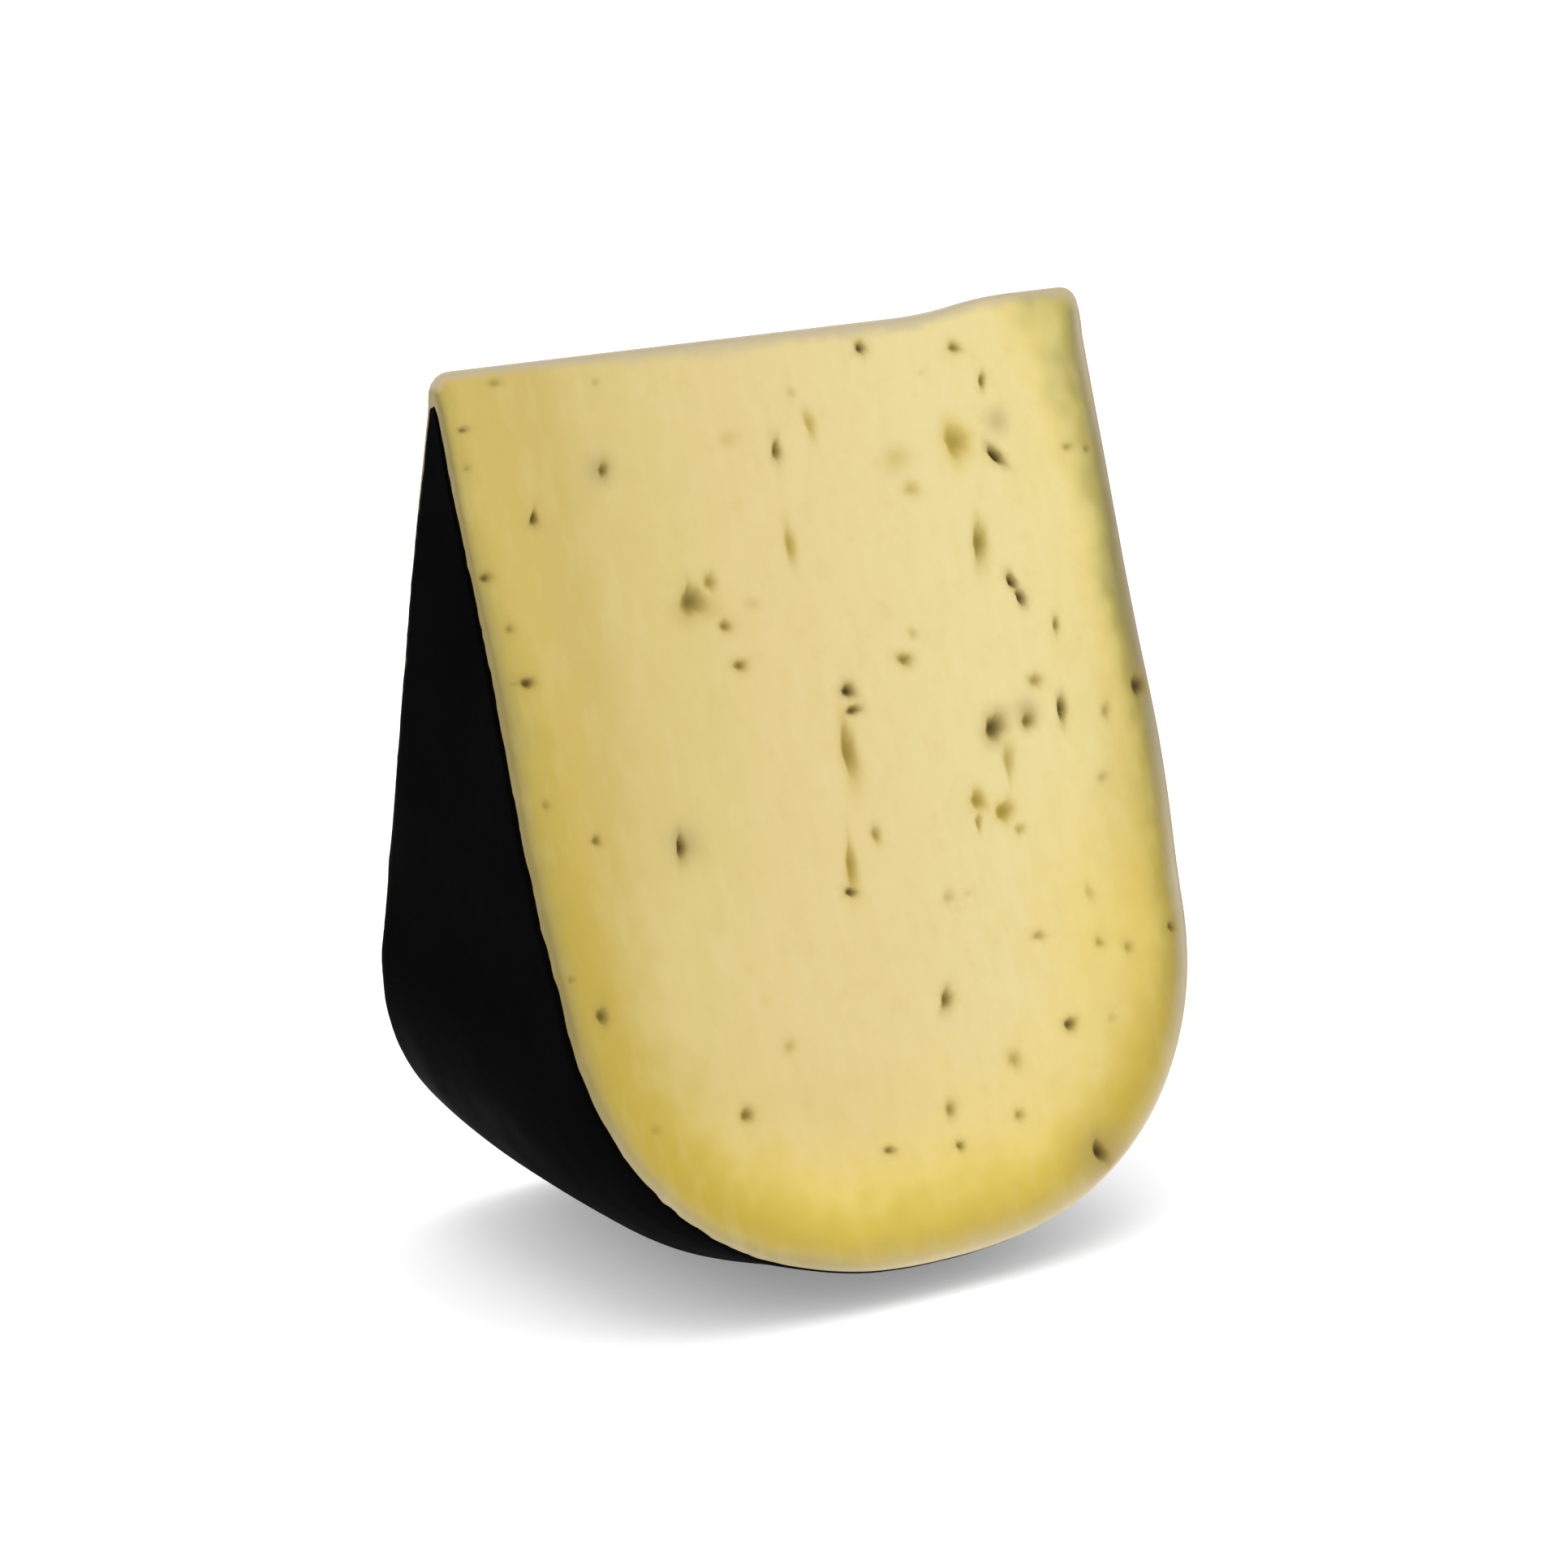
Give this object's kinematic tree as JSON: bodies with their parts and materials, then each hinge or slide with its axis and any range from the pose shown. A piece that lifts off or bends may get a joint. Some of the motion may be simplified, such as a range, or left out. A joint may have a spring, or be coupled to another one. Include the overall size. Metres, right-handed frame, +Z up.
{
  "type": "cheese wedge",
  "caption": "Wedge of a small black-coated cheese wheel, with a firm cream-yellow paste and scattered eyes, standing on its round side with the cutting edge up.",
  "frame": {"origin": "middle of the small flat that the wheel's round side rests on, on the wheel's middle plane", "axes": "+Z up through the cutting edge, X along the wheel's axis, -Y towards the near cut and +Y towards the far cut"},
  "size_m": [0.0996, 0.076, 0.1231],
  "materials": {
    "paste": "firm cream-yellow cheese, cut smooth, with a waxy sheen and scattered eyes",
    "coat": "thin black cheese coating over the rind, dull"
  },
  "bodies": {
    "root": {"cheese_wedge": "paste"}
  },
  "joints": []
}
